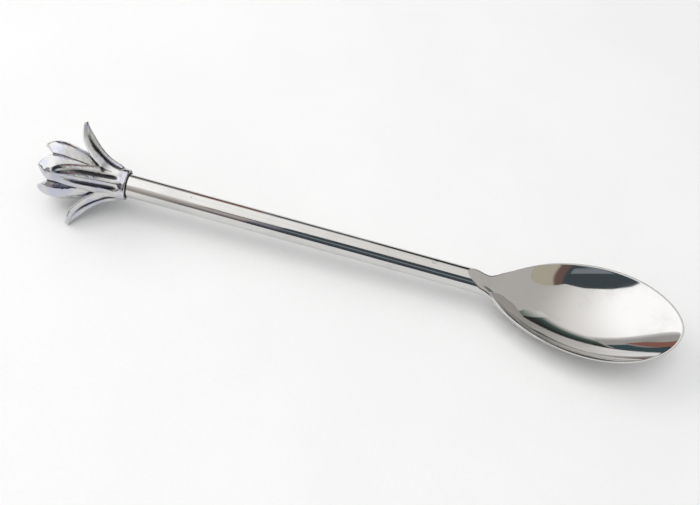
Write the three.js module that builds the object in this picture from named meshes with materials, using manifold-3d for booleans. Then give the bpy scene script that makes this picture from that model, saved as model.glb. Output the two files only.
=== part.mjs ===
// A small teaspoon with a flower finial: a forged bowl on a round bar, and a four-sepal calyx that holds a
// six-petal blossom at the other end. Millimetres, +Z up, the bar along +X from the flower to the bowl, and
// leaning by less than a degree as the spoon lies.
import * as THREE from 'three';
import { mergeVertices } from 'three/addons/utils/BufferGeometryUtils.js';
import Module from 'manifold-3d';

// Bar. Stations along X are counted from the collar, where the bar enters the flower.
const barDiameter = 5.0;
const barVisibleLength = 68.0;
const barEndChamfer = 0.3;

// Bowl, neck and the round shank that carries on the bar's line
const shankLength = 8.0;
const neckLength = 4.4;
const bowlLength = 43.4;
const bowlWidth = 25.4;
const bowlDepth = 6.4;
const bowlWall = 0.95;
const neckThickening = 1.5;
const lipWidth = 0.8;
const tipLift = 3.3;
const edgeDip = 0.4;
const scoopLength = 10.5;
const scoopSlope = -0.38;
const tipSlope = 0.12;
const restFlatDepth = 0.1;
const restLean = THREE.MathUtils.degToRad(0.7355);
const tangDiameter = 3.0;
const tangLength = 8.0;

// Calyx: a collar that the bar sits in, and four sepals that flare from it
const sepalCount = 4;
const collarRadius = 3.4;
const collarLength = 0.9;
const collarBead = 0.2;
const beadGroove = 0.25;
const socketDepth = 2.6;
const socketFloor = 1.0;
const sepalReach = 10.1;
const longPairReach = 2.1;
const sepalSpread = 11.62;
const sepalWall = 0.85;
const sepalKeelDepth = 2.1;
const sepalTipWidth = 0.5;
const ribHeight = 0.3;
const ribHalfWidth = 0.4;
const fluteDepth = 0.45;
const fluteHalfWidth = 0.36;
const flutePlace = 1.08;

// Blossom: six petals in one cup, on a stem that runs through the calyx into the bar
const petalCount = 6;
const blossomLength = 13.6;
const blossomRadius = 6.55;
const blossomMouthRadius = 5.4;
const blossomSeatRadius = 2.3;
const blossomFloor = 5.0;
const blossomTurn = Math.PI * 0.711;
const petalNotch = 2.6;
const petalGroove = 0.85;
const petalWall = 0.95;
const stemDiameter = 2.4;
const stemLength = 8.6;

// Clearances
const pressClearance = 0.05;
const socketClearance = 0.15;
const glueGap = 0.05;

// Facets round every turned piece, shared so that mating facets lie side by side
const facetsRound = 48;

// Places worked out from the sizes
const barRadius = barDiameter / 2;
const stemRadius = stemDiameter / 2;
const tangRadius = tangDiameter / 2;
const jointX = barVisibleLength;
const scoopX = jointX + shankLength;
const bowlStartX = scoopX + neckLength;
const bowlTipX = bowlStartX + bowlLength;
const edgeLowX = scoopX + scoopLength;
const seatOut = socketDepth + socketFloor;
const stemEndOut = seatOut - stemLength;

const { clamp, lerp, smoothstep } = THREE.MathUtils;
const wasm = await Module();
wasm.setup();

// Cubic between two stations, with a height and a slope at each
function hermite(x, from, to) {
  const span = to.x - from.x;
  const t = (x - from.x) / span;
  const near = 2 * t ** 3 - 3 * t ** 2 + 1;
  const bend = (t ** 3 - 2 * t ** 2 + t) * from.slope + (t ** 3 - t ** 2) * to.slope;
  return near * from.z + (1 - near) * to.z + bend * span;
}

// Smooth value through knots [place, value], level at each knot
function eased(knots, place) {
  let value = knots[0][1];
  for (let i = 1; i < knots.length; i += 1) {
    value += (knots[i][1] - knots[i - 1][1]) * smoothstep(place, knots[i - 1][0], knots[i][0]);
  }
  return value;
}

// Larger of two lengths, with a soft change from one to the other
function softMax(a, b) {
  const hardness = 4;
  return (a ** hardness + b ** hardness) ** (1 / hardness);
}

// Rise and fall over a share from 0 to 1, with its peak scaled to 1
function hump(share, rise, fall) {
  const top = rise / (rise + fall);
  return (share ** rise * (1 - share) ** fall) / (top ** rise * (1 - top) ** fall);
}

// Facets gathered from sheets of points that share their corners
class Facets {
  constructor() {
    this.corners = [];
  }

  triangle(a, b, c) {
    if (a === b || b === c || c === a) return;
    this.corners.push(a, b, c);
  }

  sheet(rows, closed = false) {
    for (let i = 0; i + 1 < rows.length; i += 1) {
      const count = rows[i].length;
      for (let j = 0; j < (closed ? count : count - 1); j += 1) {
        const k = (j + 1) % count;
        this.triangle(rows[i][j], rows[i + 1][k], rows[i][k]);
        this.triangle(rows[i][j], rows[i + 1][j], rows[i + 1][k]);
      }
    }
  }

  geometry() {
    const numbers = new Map();
    const positions = [];
    const index = this.corners.map((corner) => {
      if (!numbers.has(corner)) {
        numbers.set(corner, numbers.size);
        positions.push(corner.x, corner.y, corner.z);
      }
      return numbers.get(corner);
    });
    const geometry = new THREE.BufferGeometry();
    geometry.setAttribute('position', new THREE.Float32BufferAttribute(positions, 3));
    geometry.setIndex(index);
    return geometry;
  }
}

// Closed skin over a row of closed rings, drawn to a point at each end
function skin(rings, startPoint, endPoint) {
  const facets = new Facets();
  facets.sheet([rings[0].map(() => startPoint), ...rings, rings[0].map(() => endPoint)], true);
  return facets.geometry();
}

function solid(geometry) {
  const bare = geometry.clone();
  bare.deleteAttribute('normal');
  bare.deleteAttribute('uv');
  const merged = mergeVertices(bare);
  return new wasm.Manifold(new wasm.Mesh({
    numProp: 3,
    vertProperties: new Float32Array(merged.attributes.position.array),
    triVerts: new Uint32Array(merged.index.array),
  }));
}

function fromSolid(body) {
  const mesh = body.getMesh();
  const geometry = new THREE.BufferGeometry();
  geometry.setAttribute('position', new THREE.Float32BufferAttribute(mesh.vertProperties, 3));
  geometry.setIndex(Array.from(mesh.triVerts));
  return geometry;
}

// Turned piece about the X axis, from a profile of [station, radius]
function turned(profile) {
  const points = profile.map(([station, radius]) => new THREE.Vector2(radius, station));
  return new THREE.LatheGeometry(points, facetsRound).rotateZ(-Math.PI / 2);
}

// Bowl's half width in plan, which grows out of the round bar and closes at the tip
const planRise = 0.763;
const planFall = 0.568;

function halfWidth(x) {
  const share = clamp((x - bowlStartX) / bowlLength, 0, 1);
  return softMax(barRadius * (1 - share ** 2), (bowlWidth / 2) * hump(share, planRise, planFall));
}

// Height above the bar's axis of the scoop's edge, and then of the rim
function edgeHeight(x) {
  const scoop = { x: scoopX, z: barRadius, slope: scoopSlope };
  const low = { x: edgeLowX, z: -edgeDip, slope: 0 };
  const tip = { x: bowlTipX, z: tipLift, slope: tipSlope };
  return x < edgeLowX ? hermite(x, scoop, low) : hermite(x, low, tip);
}

// Height of a section's widest line: the bar's axis, and then the rim
function widestHeight(x) {
  return x < edgeLowX ? -edgeDip * smoothstep(x, scoopX, edgeLowX) : edgeHeight(x);
}

// Fall of a hollow below the edge, as a share of its depth, for a hollow that closes at endX
const fallRise = 1.3;
const fallEnd = 1.1;

function fallShare(x, endX) {
  return hump(clamp((x - scoopX) / (endX - scoopX), 0, 1), fallRise, fallEnd);
}

// Depth of the outside below the widest line, with a wall that thickens towards the neck
function outerDepth(x) {
  const share = clamp((x - scoopX) / (bowlTipX - scoopX), 0, 1);
  const wall = bowlWall + neckThickening * (1 - smoothstep(x, scoopX, bowlStartX + bowlLength / 2));
  const fall = (bowlDepth + wall) * fallShare(x, bowlTipX) - (edgeHeight(x) - widestHeight(x));
  return softMax(barRadius * (1 - share ** 2), Math.max(0, fall));
}

// Circular arc across a section, from +halfSpan to -halfSpan, that falls by depth or rises by -depth
function arc(x, halfSpan, z, depth, steps) {
  const halfAngle = 2 * Math.atan2(depth, halfSpan);
  const points = [];
  for (let i = 0; i <= steps; i += 1) {
    const turn = 1 - (2 * i) / steps;
    const flat = depth === 0;
    const y = flat ? turn : Math.sin(halfAngle * turn) / Math.sin(halfAngle);
    const drop = flat ? 0 : (Math.cos(halfAngle * turn) - Math.cos(halfAngle)) / (1 - Math.cos(halfAngle));
    points.push(new THREE.Vector3(x, halfSpan * y, z - depth * drop));
  }
  return points;
}

// Closed section: one arc below the widest line and one above it
const arcStepsBelow = 24;
const arcStepsAbove = 12;

function section(x, halfSpan, z, depthBelow, heightAbove) {
  const below = arc(x, halfSpan, z, depthBelow, arcStepsBelow);
  const above = arc(x, halfSpan, z, -heightAbove, arcStepsAbove).reverse();
  return [...below.slice(0, -1), ...above.slice(0, -1)];
}

// Stations from the scoop up to the tip, closer together towards the tip, which is not one of them
const stationCount = 44;
const stationCrowding = 1.5;
const bowlStations = Array.from({ length: stationCount }, (_, i) => (
  bowlTipX - (bowlTipX - scoopX) * (1 - i / stationCount) ** stationCrowding
));

function outerBody() {
  const rings = [jointX, ...bowlStations].map((x) => {
    const w = halfWidth(x);
    return section(x, w, widestHeight(x), outerDepth(x), Math.min(barRadius, w));
  });
  return skin(rings, new THREE.Vector3(jointX, 0, 0), new THREE.Vector3(bowlTipX, 0, tipLift));
}

// Everything above the edge line, seen from the side
function aboveEdge() {
  const startX = scoopX - barRadius;
  const endX = bowlTipX + barRadius;
  const outline = new THREE.Shape();
  outline.moveTo(endX, bowlWidth);
  outline.lineTo(startX, bowlWidth);
  [startX, ...bowlStations, bowlTipX, endX].forEach((x) => outline.lineTo(x, edgeHeight(x)));
  const depth = 2 * bowlWidth;
  return new THREE.ExtrudeGeometry(outline, { depth, bevelEnabled: false })
    .rotateX(Math.PI / 2)
    .translate(0, depth / 2, 0);
}

// The hollow: wider than the neck where the scoop runs out on the bar, then the plan less the lip
function hollow() {
  const runOut = 0.5;
  const endX = bowlTipX - lipWidth;
  const stretch = bowlLength / (bowlLength - lipWidth);
  const rings = bowlStations.filter((x) => x < endX).map((x) => {
    const plan = halfWidth(bowlStartX + (x - bowlStartX) * stretch) * (1 - lipWidth / (bowlWidth / 2));
    const w = plan + runOut * (1 - smoothstep(x, scoopX, edgeLowX));
    return section(x, w, edgeHeight(x), bowlDepth * fallShare(x, endX), Math.min(barRadius, w));
  });
  const start = new THREE.Vector3(scoopX, 0, barRadius);
  return skin(rings, start, new THREE.Vector3(endX, 0, edgeHeight(endX)));
}

// Height of a point of the spoon as it lies, with the bar leaning down to the bowl
function lyingHeight(x, z) {
  return z * Math.cos(restLean) - x * Math.sin(restLean);
}

// What is below the small flat under the belly, on which the bowl stands
function belowBelly() {
  const heights = bowlStations.map((x) => lyingHeight(x, widestHeight(x) - outerDepth(x)));
  const top = Math.min(...heights) + restFlatDepth;
  return new THREE.BoxGeometry(2 * bowlLength, 2 * bowlWidth, bowlDepth)
    .translate(bowlTipX - bowlLength / 2, 0, top - bowlDepth / 2)
    .rotateY(-restLean);
}

// Tang on the shank's end, which is pressed into the bar
function tang() {
  const start = jointX - tangLength;
  return turned([
    [start, 0],
    [start, tangRadius - barEndChamfer],
    [start + barEndChamfer, tangRadius],
    [jointX + barRadius, tangRadius],
    [jointX + barRadius, 0],
  ]);
}

function bowlGeometry() {
  const body = solid(outerBody())
    .subtract(solid(aboveEdge()))
    .subtract(solid(hollow()))
    .subtract(solid(belowBelly()))
    .add(solid(tang()));
  return fromSolid(body);
}

// Round bar with a blind bore at each end: one for the blossom's stem, one for the bowl's tang
function barGeometry() {
  const start = -socketDepth + glueGap;
  const end = jointX - glueGap;
  const stemBore = stemRadius + pressClearance;
  const stemBoreEnd = -stemEndOut + glueGap;
  const tangBore = tangRadius + pressClearance;
  const tangBoreEnd = jointX - tangLength - glueGap;
  return turned([
    [stemBoreEnd, 0],
    [stemBoreEnd, stemBore],
    [start, stemBore],
    [start, barRadius - barEndChamfer],
    [start + barEndChamfer, barRadius],
    [end, barRadius],
    [end, tangBore],
    [tangBoreEnd, tangBore],
    [tangBoreEnd, 0],
  ]);
}

// Flower pieces are drawn with "out" counted from the collar towards the flower's mouth, which is along -X.
// "along" lies in the middle plane of a leaf at the given turn about the axis, "across" is square to it.
function flowerPoint(out, along, across, turn) {
  const c = Math.cos(turn);
  const s = Math.sin(turn);
  return new THREE.Vector3(-out, along * c - across * s, along * s + across * c);
}

// Point beside the flower's axis, as (out, radius), at shares of a sepal's reach and of its flare
function keelPoint(reachShare, flareShare) {
  return new THREE.Vector2(reachShare * sepalReach, lerp(collarRadius, sepalSpread, flareShare));
}

// Keel: the middle line of a sepal's outer face, which leaves the collar gently and then bends outwards
const keel = new THREE.CubicBezierCurve(
  keelPoint(0, 0),
  keelPoint(0.42, 0.09),
  keelPoint(0.74, 0.42),
  keelPoint(1, 1),
);

// Fall of a sepal's edges from its keel: round at the collar, deepest where the notches between the sepals
// end, and nearly flat at the tip. Places are shares of the keel's length.
const notchAt = 0.34;
const shallowAt = 0.78;
const shallowShare = 0.85;
const tipFall = 0.6 * sepalTipWidth;
const halfSector = Math.PI / sepalCount;
const edgeFall = [
  [0, collarRadius * (1 - Math.cos(halfSector))],
  [notchAt, sepalKeelDepth],
  [shallowAt, shallowShare * sepalKeelDepth],
  [1, tipFall],
];

// Place beside the keel, at a height off the sepal's face, as [out, along]
function besideKeel(t, height) {
  const place = keel.getPoint(t);
  const tangent = keel.getTangent(t);
  return [place.x - tangent.y * height, place.y + tangent.x * height];
}

// Half width: a full sector up to the notch, then a leaf that narrows to a rounded tip
const leafFullness = 1.35;
const leafClosing = 0.6;

function sepalHalfWidth(t) {
  const joined = Math.min(t, notchAt);
  const atNotch = besideKeel(joined, -eased(edgeFall, joined))[1] * Math.tan(halfSector);
  const share = Math.max(0, (t - notchAt) / (1 - notchAt));
  return lerp(sepalTipWidth / 2, atNotch, (1 - share ** leafFullness) ** leafClosing);
}

// Distance from the keel, square to it, at a share v of the way to a sepal's edge
function acrossKeel(t, v) {
  return (sepalHalfWidth(t) * Math.sin(v * halfSector)) / Math.sin(halfSector);
}

// A raised midrib between two flutes that close in towards the tip, fading out at the collar and at the tip.
// Places are shares of the keel's length.
const reliefStart = 0.02;
const reliefFull = 0.12;
const reliefEnd = 0.8;
const closingStart = 0.6;
const fluteClosing = 0.7;

function ridge(place, middle, spread) {
  return Math.exp(-(((place - middle) / spread) ** 2));
}

function relief(t, v) {
  const fade = smoothstep(t, reliefStart, reliefFull) * (1 - smoothstep(t, reliefEnd, 1));
  const across = Math.abs(acrossKeel(t, v));
  const middle = flutePlace * (1 - fluteClosing * smoothstep(t, closingStart, 1));
  const rib = ribHeight * ridge(across, 0, ribHalfWidth);
  const flutes = fluteDepth * ridge(across, middle, fluteHalfWidth);
  return fade * (rib - flutes);
}

// Point of a sepal's outer face: t from the collar to the tip, v from edge to edge, as (out, along, across)
function sepalFace(t, v, height) {
  const fall = (1 - Math.cos(v * halfSector)) / (1 - Math.cos(halfSector));
  const [out, along] = besideKeel(t, height - eased(edgeFall, t) * fall);
  return new THREE.Vector3(out, along, acrossKeel(t, v));
}

function sepalOuter(t, v) {
  return sepalFace(t, v, relief(t, v));
}

// Point of a sepal's inner face: the outer face without its relief, moved in square to it by the wall, which
// thins towards the edges and, past a share of the length, towards the tip
const edgeThinning = 0.3;
const tipThinning = 0.4;
const tipThinFrom = 0.7;

function sepalInner(t, v) {
  const step = 0.002;
  const before = Math.min(t, 1 - step);
  const lengthwise = sepalFace(before + step, v, 0).sub(sepalFace(before, v, 0));
  const crosswise = sepalFace(t, v + step, 0).sub(sepalFace(t, v - step, 0));
  const inward = lengthwise.cross(crosswise).normalize();
  if (t === notchAt && Math.abs(v) === 1) {
    const lean = Math.hypot(inward.y, inward.z);
    inward.y = -lean * Math.cos(halfSector);
    inward.z = -lean * Math.sin(halfSector) * v;
  }
  const towardsTip = tipThinning * smoothstep(t, tipThinFrom, 1);
  const wall = sepalWall * (1 - edgeThinning * v * v) * (1 - towardsTip);
  return sepalFace(t, v, 0).addScaledVector(inward, wall);
}

// Place out of a point of the calyx, drawn further in the outer half of the sepals in front and behind
function stretchedOut(point, turn) {
  const toPair = Math.sin(turn + Math.atan2(point.z, point.y) - halfSector) ** 2;
  return point.x + longPairReach * toPair * smoothstep(point.x, sepalReach / 2, sepalReach);
}

function calyxGeometry() {
  const columns = facetsRound / sepalCount;
  const baseRows = 6;
  const leafRows = 14;
  const place = (point, k) => {
    const turn = halfSector * (2 * k + 1);
    return flowerPoint(stretchedOut(point, turn), point.y, point.z, turn);
  };
  const across = (j) => (2 * j) / columns - 1;

  // Ring that goes once round through the sepals
  const ringOf = (pointAt) => Array.from({ length: facetsRound }, (_, n) => (
    place(pointAt(across(n % columns)), Math.floor(n / columns))
  ));
  const roundRing = (out, radius) => ringOf((v) => new THREE.Vector3(
    out,
    radius * Math.cos(v * halfSector),
    radius * Math.sin(v * halfSector),
  ));

  const socket = barRadius + socketClearance;
  const stemHole = stemRadius + pressClearance;
  const grooveRadius = collarRadius - collarBead;
  const cupRing = ringOf((v) => sepalInner(notchAt, v));
  const notchRing = ringOf((v) => sepalOuter(notchAt, v));

  // From the cup's floor through the stem hole and the bar's socket, and back over the collar's bead
  const base = [
    cupRing,
    roundRing(seatOut, blossomSeatRadius),
    roundRing(seatOut, stemHole),
    roundRing(socketDepth, stemHole),
    roundRing(socketDepth, socket),
    roundRing(-collarLength, socket),
    roundRing(-collarLength, grooveRadius),
    roundRing(collarBead - collarLength, collarRadius),
    roundRing(-collarBead - beadGroove, collarRadius),
    roundRing(-beadGroove, grooveRadius),
  ];
  for (let i = 0; i < baseRows; i += 1) {
    base.push(ringOf((v) => sepalOuter((notchAt * i) / baseRows, v)));
  }
  const facets = new Facets();
  facets.sheet([...base, notchRing], true);

  // Leaves: outer face, inner face, and the edges and tip between them
  for (let k = 0; k < sepalCount; k += 1) {
    const rowsOf = (firstRing, pointAt) => Array.from({ length: leafRows + 1 }, (_, i) => {
      const t = notchAt + (1 - notchAt) * Math.sin((Math.PI / 2) * (i / leafRows));
      return Array.from({ length: columns + 1 }, (__, j) => (
        i === 0 ? firstRing[(columns * k + j) % facetsRound] : place(pointAt(t, across(j)), k)
      ));
    });
    const outer = rowsOf(notchRing, sepalOuter);
    const inner = rowsOf(cupRing, sepalInner);
    const line = (rows, j) => rows.map((row) => row[j]);
    facets.sheet(outer);
    facets.sheet(inner.map((row) => [...row].reverse()));
    facets.sheet([outer[leafRows], inner[leafRows]]);
    facets.sheet([line(outer, 0), line(inner, 0)]);
    facets.sheet([line(inner, columns), line(outer, columns)]);
  }
  return facets.geometry();
}

// Point of the blossom's outline, as (height, radius): a share of its length, and of the swell from a radius
function bulbPoint(lengthShare, startRadius, swellShare) {
  return new THREE.Vector2(lengthShare * blossomLength, lerp(startRadius, blossomRadius, swellShare));
}

// Outline from the seat over the belly to the mouth, where the petals turn in
const bulbPoints = new THREE.SplineCurve([
  bulbPoint(0, blossomSeatRadius, 0),
  bulbPoint(0.06, blossomSeatRadius, 0.12),
  bulbPoint(0.2, blossomSeatRadius, 0.41),
  bulbPoint(0.36, blossomSeatRadius, 0.67),
  bulbPoint(0.55, blossomSeatRadius, 0.89),
  bulbPoint(0.74, blossomSeatRadius, 1),
  bulbPoint(0.89, blossomMouthRadius, 0.75),
  bulbPoint(1, blossomMouthRadius, 0),
]).getPoints(200);

function bulbRadius(height) {
  const below = clamp(bulbPoints.findLastIndex((point) => point.x <= height), 0, bulbPoints.length - 2);
  const [low, high] = [bulbPoints[below], bulbPoints[below + 1]];
  return lerp(low.y, high.y, clamp((height - low.x) / (high.x - low.x), 0, 1));
}

// Radius of a petal's outer face, drawn in at the groove between two petals, which deepens with height
const grooveStart = 0.15;
const grooveFull = 0.6;
const grooveSharpness = 1.6;

function petalRadius(height, v) {
  const deepened = smoothstep(height, grooveStart * blossomLength, grooveFull * blossomLength);
  return bulbRadius(height) - petalGroove * deepened * Math.abs(v) ** grooveSharpness;
}

// Height of a petal's edge: a rounded point in the middle, a notch at the side
const petalPointing = 1.25;

function petalEdge(v) {
  return blossomLength - petalNotch * Math.abs(v) ** petalPointing;
}

function blossomGeometry() {
  const perPetal = facetsRound / petalCount;
  const outerRows = 13;
  const innerRows = 8;
  const floorRoundness = 0.35;
  const ringOf = (pointAt) => Array.from({ length: facetsRound }, (_, n) => {
    const [height, radius] = pointAt((2 * (n % perPetal)) / perPetal - 1);
    const turn = blossomTurn + ((n - perPetal / 2) / facetsRound) * 2 * Math.PI;
    return flowerPoint(seatOut + glueGap + height, radius, 0, turn);
  });
  const rings = [
    ringOf(() => [-stemLength, stemRadius - barEndChamfer]),
    ringOf(() => [barEndChamfer - stemLength, stemRadius]),
    ringOf(() => [0, stemRadius]),
  ];
  for (let i = 0; i <= outerRows; i += 1) {
    rings.push(ringOf((v) => {
      const height = (petalEdge(v) * i) / outerRows;
      return [height, petalRadius(height, v)];
    }));
  }

  // The hollow, from the petals' edges down to a rounded floor
  for (let i = 0; i < innerRows; i += 1) {
    const turn = (Math.PI / 2) * (i / innerRows);
    rings.push(ringOf((v) => {
      const height = lerp(petalEdge(v), blossomFloor, Math.sin(turn));
      return [height, (petalRadius(height, v) - petalWall) * Math.cos(turn) ** floorRoundness];
    }));
  }
  const start = flowerPoint(stemEndOut + glueGap, 0, 0, 0);
  return skin(rings, start, flowerPoint(seatOut + glueGap + blossomFloor, 0, 0, 0));
}

// Finishes
const polishedSteel = { color: 0xc8c8cc, metalness: 1, roughness: 0.1 };
const platedCasting = { color: 0xbfc1c8, metalness: 1, roughness: 0.16 };

function piece(name, geometry, finish) {
  const mesh = new THREE.Mesh(geometry, new THREE.MeshStandardMaterial(finish));
  mesh.name = name;
  return mesh;
}

const spoon = new THREE.Group();
spoon.add(piece('bowl', bowlGeometry(), polishedSteel));
spoon.add(piece('handle_rod', barGeometry(), polishedSteel));
spoon.add(piece('calyx', calyxGeometry(), platedCasting));
spoon.add(piece('blossom', blossomGeometry(), platedCasting));

// The spoon lies on its belly and its lower sepals. Origin in the middle of the length, on the surface below.
spoon.rotation.y = restLean;
const box = new THREE.Box3().setFromObject(spoon, true);
const middle = box.getCenter(new THREE.Vector3());
spoon.position.set(-middle.x, -middle.y, -box.min.z);

export default spoon;
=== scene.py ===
"""Looks of a teaspoon with a flower finial: fine meshes, finishes and a studio stage."""
import math

import bmesh
import bpy
import numpy as np
from bpy.props import FloatProperty, FloatVectorProperty, IntProperty, PointerProperty
from mathutils import Matrix, Vector


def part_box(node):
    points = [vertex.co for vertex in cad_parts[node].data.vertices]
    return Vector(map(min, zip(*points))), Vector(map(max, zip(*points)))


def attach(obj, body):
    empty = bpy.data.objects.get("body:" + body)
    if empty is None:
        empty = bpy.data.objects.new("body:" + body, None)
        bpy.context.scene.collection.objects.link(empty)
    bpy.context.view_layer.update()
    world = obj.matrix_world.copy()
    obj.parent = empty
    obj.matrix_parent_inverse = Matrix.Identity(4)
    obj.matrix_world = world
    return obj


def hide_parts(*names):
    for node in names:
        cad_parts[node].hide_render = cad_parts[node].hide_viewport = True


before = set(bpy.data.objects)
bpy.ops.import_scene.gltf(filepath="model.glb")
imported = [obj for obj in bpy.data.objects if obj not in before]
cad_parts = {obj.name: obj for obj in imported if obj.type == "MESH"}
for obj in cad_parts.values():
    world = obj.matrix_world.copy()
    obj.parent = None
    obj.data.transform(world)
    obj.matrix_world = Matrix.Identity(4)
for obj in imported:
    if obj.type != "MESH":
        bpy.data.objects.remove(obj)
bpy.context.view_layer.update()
rod_low, rod_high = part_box("handle_rod")
bowl_low, bowl_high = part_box("bowl")

bl_info = {
    "name": "Flower teaspoon",
    "version": (1, 0, 0),
    "blender": (4, 5, 0),
    "location": "3D View > Sidebar > Teaspoon",
    "description": "Builds a polished teaspoon with a flower finial and the stage it lies on",
    "category": "Add Mesh",
}

# Least size of a section, and a distance that counts as none
least_size = 1e-7
same_place = 1e-9


def length(name, description, default):
    """Property for a length in metres."""
    return FloatProperty(name=name, description=description, default=default, unit="LENGTH", precision=5)


def share(name, description, default):
    """Property for a plain number."""
    return FloatProperty(name=name, description=description, default=default, precision=3)


def angle(name, description, degrees):
    """Property for an angle."""
    return FloatProperty(
        name=name, description=description, default=math.radians(degrees), subtype="ANGLE")


def power(name, description, default):
    """Property for the power of a lamp in watts."""
    return FloatProperty(name=name, description=description, default=default, unit="POWER")


def colour(name, description, default):
    """Property for a colour in linear light."""
    return FloatVectorProperty(
        name=name, description=description, default=default, subtype="COLOR", min=0, max=1)


class TeaspoonBowlSizes(bpy.types.PropertyGroup):
    """Sizes of the bar, the neck and the bowl"""

    bar_diameter: length("Bar diameter", "Round bar of the handle", rod_high.y - rod_low.y)
    bar_length: length("Bar length", "From the collar's root to the bar's end", 0.068)
    bar_chamfer: length("Bar chamfer", "Broken edge of the bar's hidden end", 0.0003)
    shank: length("Shank", "Round part between the bar's end and the scoop", 0.008)
    neck: length("Neck", "From the start of the scoop to the start of the bowl", 0.0044)
    bowl_length: length("Bowl length", "From the neck to the tip", 0.0434)
    bowl_width: length("Bowl width", "Over the rim", bowl_high.y - bowl_low.y)
    bowl_depth: length("Bowl depth", "Of the hollow below the rim", 0.0064)
    bowl_wall: length("Bowl wall", "Thickness at the belly", 0.00095)
    neck_wall: length("Neck wall", "Extra thickness of the wall towards the neck", 0.0015)
    lip: length("Lip", "Width of the rim's top", 0.00045)
    lip_rounding: length("Lip rounding", "Distance over which the rim's corners turn", 0.00015)
    neck_rounding: length("Neck rounding", "Extra rounding of the shoulders along the neck", 0.0006)
    tip_lift: length("Tip lift", "Rim at the tip above the bar's axis", 0.0033)
    edge_dip: length("Edge dip", "Rim below the bar's axis where the scoop ends", 0.0004)
    scoop: length("Scoop", "From the start of the scoop to the rim's lowest place", 0.0105)
    scoop_slope: share("Scoop slope", "Slope at which the scoop leaves the bar's top", -0.38)
    tip_slope: share("Tip slope", "Slope of the rim at the tip", 0.12)
    rest_flat: length("Rest flat", "Depth of the worn flat under the belly", 0.0001)
    rest_lean: angle("Rest lean", "Lean of the bar down to the bowl, as the spoon lies", 0.7355)


class TeaspoonFlowerSizes(bpy.types.PropertyGroup):
    """Sizes of the calyx and the blossom"""

    sepals: IntProperty(name="Sepals", description="Leaves of the calyx", default=4)
    collar_length: length("Collar length", "Length of the calyx's collar on the bar", 0.0009)
    collar_radius: length("Collar radius", "Where the sepals start", 0.0034)
    collar_lip: length("Collar lip", "Rounding of the collar's end", 0.0002)
    socket_depth: length("Socket depth", "How deep the bar sits in the calyx", 0.0026)
    socket_floor: length("Socket floor", "Thickness of the calyx's floor", 0.001)
    socket_clearance: length("Socket clearance", "Gap round the bar in the collar", 0.00015)
    socket_ease: length("Socket ease", "Broken edges of the socket", 0.0001)
    sepal_reach: length("Sepal reach", "From the collar to a sepal's tip, along the bar", 0.0101)
    long_pair: length("Long pair", "Extra reach of the sepals in front and behind", 0.0021)
    sepal_spread: length("Sepal spread", "From the bar's axis to a sepal's tip", 0.01135)
    sepal_wall: length("Sepal wall", "Thickness of a sepal", 0.00085)
    sepal_cup: length("Sepal cup", "Fall of a sepal's edges from its keel", 0.0021)
    sepal_tip: length("Sepal tip", "Width of a sepal's tip", 0.0013)
    rib_height: length("Rib height", "Midrib of a sepal", 0.0003)
    rib_width: length("Rib width", "From the midrib's middle to where it has fallen off", 0.0004)
    flute_depth: length("Flute depth", "Grooves beside the midrib", 0.00048)
    flute_width: length("Flute width", "From a groove's middle to where it has risen", 0.00046)
    flute_place: length("Flute place", "From the midrib to the middle of a groove", 0.00108)
    petals: IntProperty(name="Petals", description="Petals of the blossom", default=6)
    blossom_length: length("Blossom length", "From the seat to the petals' tips", 0.0136)
    blossom_radius: length("Blossom radius", "At the belly", 0.00655)
    mouth_radius: length("Mouth radius", "At the petals' tips", 0.0054)
    seat_radius: length("Seat radius", "At the calyx's floor", 0.0023)
    seat_gap: length("Seat gap", "Between the blossom and the calyx's floor", 0.00005)
    blossom_floor: length("Blossom floor", "Height of the hollow's floor", 0.005)
    blossom_turn: angle("Blossom turn", "Turn of the first petal about the bar", 128)
    flower_turn: angle("Flower turn", "Turn of the flower off the bar's line, to the near side", 3.2)
    petal_notch: length("Petal notch", "Depth of the notches between the petals", 0.0026)
    petal_groove: length("Petal groove", "Depth of the grooves between the petals", 0.00085)
    petal_wall: length("Petal wall", "Thickness of a petal", 0.00095)
    stem_radius: length("Stem radius", "Stem in the calyx's floor", 0.0012)
    stem_length: length("Stem length", "Stem below the blossom's seat", 0.003)


class TeaspoonFinishes(bpy.types.PropertyGroup):
    """Colours and polish of the metals"""

    steel: colour("Steel", "Polished stainless steel", (0.66, 0.652, 0.643))
    steel_haze: colour("Steel haze", "Steel under a fine haze of wiping marks", (0.595, 0.59, 0.585))
    steel_streak: colour("Steel streak", "Steel in the fine streaks along the bar", (0.56, 0.545, 0.525))
    steel_speck: colour("Steel speck", "Small dull specks in the polish", (0.25, 0.23, 0.21))
    plating: colour("Plating", "Bright plating of the flower", (0.615, 0.613, 0.612))
    # Painted reflection: a blue tint in patches of the plating, standing in for reflected bluish light
    blue_reflection_tint: colour("Blue reflection", "Bluish patches of the plating", (0.525, 0.535, 0.63))
    # Painted shade: near-black colour painted into the flutes, grooves, hollows and the collar's gap
    painted_shade: colour("Painted shade", "Darkened plating in the flutes", (0.02, 0.02, 0.03))
    steel_roughness: share("Steel roughness", "Of the clean polish", 0.05)
    plating_roughness: share("Plating roughness", "Of the clean plating", 0.07)


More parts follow.
